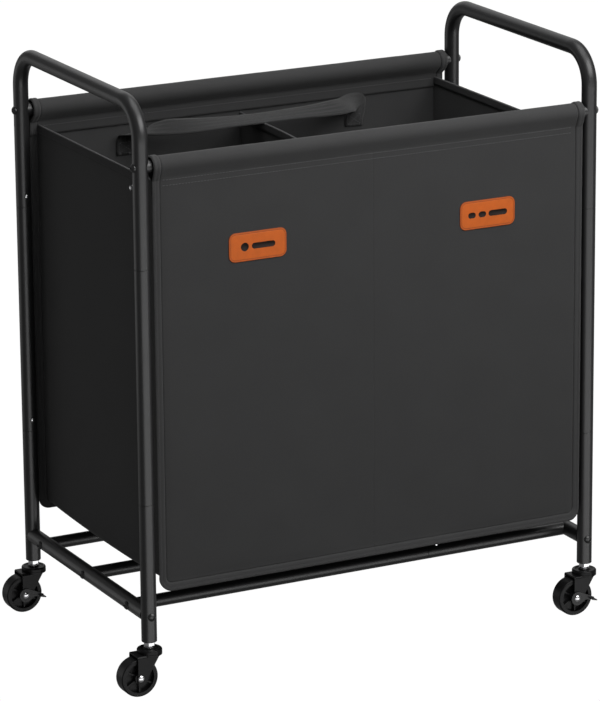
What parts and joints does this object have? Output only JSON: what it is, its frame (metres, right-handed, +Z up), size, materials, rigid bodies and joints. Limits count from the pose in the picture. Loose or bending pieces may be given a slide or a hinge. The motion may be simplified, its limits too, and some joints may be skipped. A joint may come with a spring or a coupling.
{
  "type": "rolling laundry sorter",
  "caption": "Rolling laundry sorter: tube frame with end handles on swivel casters, carrying a divided woven bag on two rods.",
  "frame": {"origin": "on the floor at the centre of the four leg axes", "axes": "+X along the long side, +Y to the back, +Z up; the labelled panel faces -Y"},
  "size_m": [0.6668, 0.3827, 0.7355],
  "materials": {
    "frame_paint": "satin black powder coat",
    "caster_paint": "semi-gloss black coated steel",
    "wheel_plastic": "black moulded plastic, dull tread",
    "bright_steel": "bright plated steel",
    "spring_steel": "plain spring steel",
    "zinc_steel": "zinc-plated steel",
    "screw_black": "black oxide, semi-gloss",
    "lever_steel": "plated stamped steel",
    "bag_outer": "charcoal woven polyester, matt",
    "bag_inner": "black woven polyester, matt",
    "webbing": "dark grey woven webbing",
    "label_leather": "orange-brown smooth leather"
  },
  "bodies": {
    "root": {"handle_left": "frame_paint", "handle_right": "frame_paint", "middle_leg_front_left": "frame_paint", "middle_leg_front_right": "frame_paint", "middle_leg_back_left": "frame_paint", "middle_leg_back_right": "frame_paint", "lower_leg_front_left": "frame_paint", "lower_leg_front_right": "frame_paint", "lower_leg_back_left": "frame_paint", "lower_leg_back_right": "frame_paint", "crossbar_left": "frame_paint", "crossbar_right": "frame_paint", "top_rod_front": "frame_paint", "top_rod_back": "frame_paint", "base_bar_long_back": "frame_paint", "base_bar_long_middle": "frame_paint", "base_bar_long_front": "frame_paint", "base_bar_short_back": "frame_paint", "base_bar_short_middle": "frame_paint", "base_bar_short_front": "frame_paint", "button_springs": "spring_steel", "frame_screws": "screw_black", "end_nuts": "zinc_steel", "leg_inserts": "zinc_steel", "caster_stems": "bright_steel", "raceway_caps": "caster_paint", "bag_front_panel": "bag_outer", "bag_back_panel": "bag_outer", "bag_left_side": "bag_inner", "bag_right_side": "bag_inner", "bag_floor": "bag_inner", "bag_divider": "bag_inner", "carry_straps": "webbing", "label_patches": "label_leather", "snap_stud": "bright_steel"},
    "caster_front_left": {"fork_front_left": "caster_paint", "axle_front_left": "bright_steel"},
    "wheel_front_left": {"wheel_front_left": "wheel_plastic"},
    "caster_front_right": {"fork_front_right": "caster_paint", "axle_front_right": "bright_steel"},
    "wheel_front_right": {"wheel_front_right": "wheel_plastic"},
    "caster_back_left": {"fork_back_left": "caster_paint", "axle_back_left": "bright_steel"},
    "wheel_back_left": {"wheel_back_left": "wheel_plastic"},
    "caster_back_right": {"fork_back_right": "caster_paint", "axle_back_right": "bright_steel"},
    "wheel_back_right": {"wheel_back_right": "wheel_plastic"},
    "brake_front_right": {"brake_lever_front_right": "lever_steel"},
    "brake_back_left": {"brake_lever_back_left": "lever_steel"},
    "upper_button_front_left": {"upper_button_front_left": "bright_steel"},
    "upper_button_front_right": {"upper_button_front_right": "bright_steel"},
    "upper_button_back_left": {"upper_button_back_left": "bright_steel"},
    "upper_button_back_right": {"upper_button_back_right": "bright_steel"},
    "lower_button_front_left": {"lower_button_front_left": "bright_steel"},
    "lower_button_front_right": {"lower_button_front_right": "bright_steel"},
    "lower_button_back_left": {"lower_button_back_left": "bright_steel"},
    "lower_button_back_right": {"lower_button_back_right": "bright_steel"},
    "bar_button_back": {"bar_button_back": "bright_steel"},
    "bar_button_middle": {"bar_button_middle": "bright_steel"},
    "bar_button_front": {"bar_button_front": "bright_steel"}
  },
  "joints": [
    {"name": "swivel_front_left", "type": "hinge", "parent": "root", "child": "caster_front_left", "pos_m": [-0.305, -0.173, 0.05], "axis": [0, 0, 1], "continuous": true},
    {"name": "spin_front_left", "type": "hinge", "parent": "caster_front_left", "child": "wheel_front_left", "pos_m": [-0.3223, -0.173, 0.024], "axis": [0, 1, 0], "continuous": true},
    {"name": "swivel_front_right", "type": "hinge", "parent": "root", "child": "caster_front_right", "pos_m": [0.305, -0.173, 0.05], "axis": [0, 0, 1], "continuous": true},
    {"name": "spin_front_right", "type": "hinge", "parent": "caster_front_right", "child": "wheel_front_right", "pos_m": [0.2877, -0.173, 0.024], "axis": [0, 1, 0], "continuous": true},
    {"name": "swivel_back_left", "type": "hinge", "parent": "root", "child": "caster_back_left", "pos_m": [-0.305, 0.173, 0.05], "axis": [0, 0, 1], "continuous": true},
    {"name": "spin_back_left", "type": "hinge", "parent": "caster_back_left", "child": "wheel_back_left", "pos_m": [-0.3223, 0.173, 0.024], "axis": [0, 1, 0], "continuous": true},
    {"name": "swivel_back_right", "type": "hinge", "parent": "root", "child": "caster_back_right", "pos_m": [0.305, 0.173, 0.05], "axis": [0, 0, 1], "continuous": true},
    {"name": "spin_back_right", "type": "hinge", "parent": "caster_back_right", "child": "wheel_back_right", "pos_m": [0.2877, 0.173, 0.024], "axis": [0, 1, 0], "continuous": true},
    {"name": "brake_front_right", "type": "hinge", "parent": "caster_front_right", "child": "brake_front_right", "pos_m": [0.2877, -0.173, 0.024], "axis": [0, 1, 0], "range_deg": [0, 18]},
    {"name": "brake_back_left", "type": "hinge", "parent": "caster_back_left", "child": "brake_back_left", "pos_m": [-0.3223, 0.173, 0.024], "axis": [0, 1, 0], "range_deg": [0, 18]},
    {"name": "upper_button_front_left_press", "type": "slide", "parent": "root", "child": "upper_button_front_left", "axis": [0, -1, 0], "range_m": [0, 0.0024], "stiffness_N_per_m": 400},
    {"name": "upper_button_front_right_press", "type": "slide", "parent": "root", "child": "upper_button_front_right", "axis": [0, -1, 0], "range_m": [0, 0.0024], "stiffness_N_per_m": 400},
    {"name": "upper_button_back_left_press", "type": "slide", "parent": "root", "child": "upper_button_back_left", "axis": [0, 1, 0], "range_m": [0, 0.0024], "stiffness_N_per_m": 400},
    {"name": "upper_button_back_right_press", "type": "slide", "parent": "root", "child": "upper_button_back_right", "axis": [0, 1, 0], "range_m": [0, 0.0024], "stiffness_N_per_m": 400},
    {"name": "lower_button_front_left_press", "type": "slide", "parent": "root", "child": "lower_button_front_left", "axis": [0, -1, 0], "range_m": [0, 0.0024], "stiffness_N_per_m": 400},
    {"name": "lower_button_front_right_press", "type": "slide", "parent": "root", "child": "lower_button_front_right", "axis": [0, -1, 0], "range_m": [0, 0.0024], "stiffness_N_per_m": 400},
    {"name": "lower_button_back_left_press", "type": "slide", "parent": "root", "child": "lower_button_back_left", "axis": [0, 1, 0], "range_m": [0, 0.0024], "stiffness_N_per_m": 400},
    {"name": "lower_button_back_right_press", "type": "slide", "parent": "root", "child": "lower_button_back_right", "axis": [0, 1, 0], "range_m": [0, 0.0024], "stiffness_N_per_m": 400},
    {"name": "bar_button_back_press", "type": "slide", "parent": "root", "child": "bar_button_back", "axis": [0, 0, -1], "range_m": [0, 0.0024], "stiffness_N_per_m": 400},
    {"name": "bar_button_middle_press", "type": "slide", "parent": "root", "child": "bar_button_middle", "axis": [0, 0, -1], "range_m": [0, 0.0024], "stiffness_N_per_m": 400},
    {"name": "bar_button_front_press", "type": "slide", "parent": "root", "child": "bar_button_front", "axis": [0, 0, -1], "range_m": [0, 0.0024], "stiffness_N_per_m": 400}
  ]
}
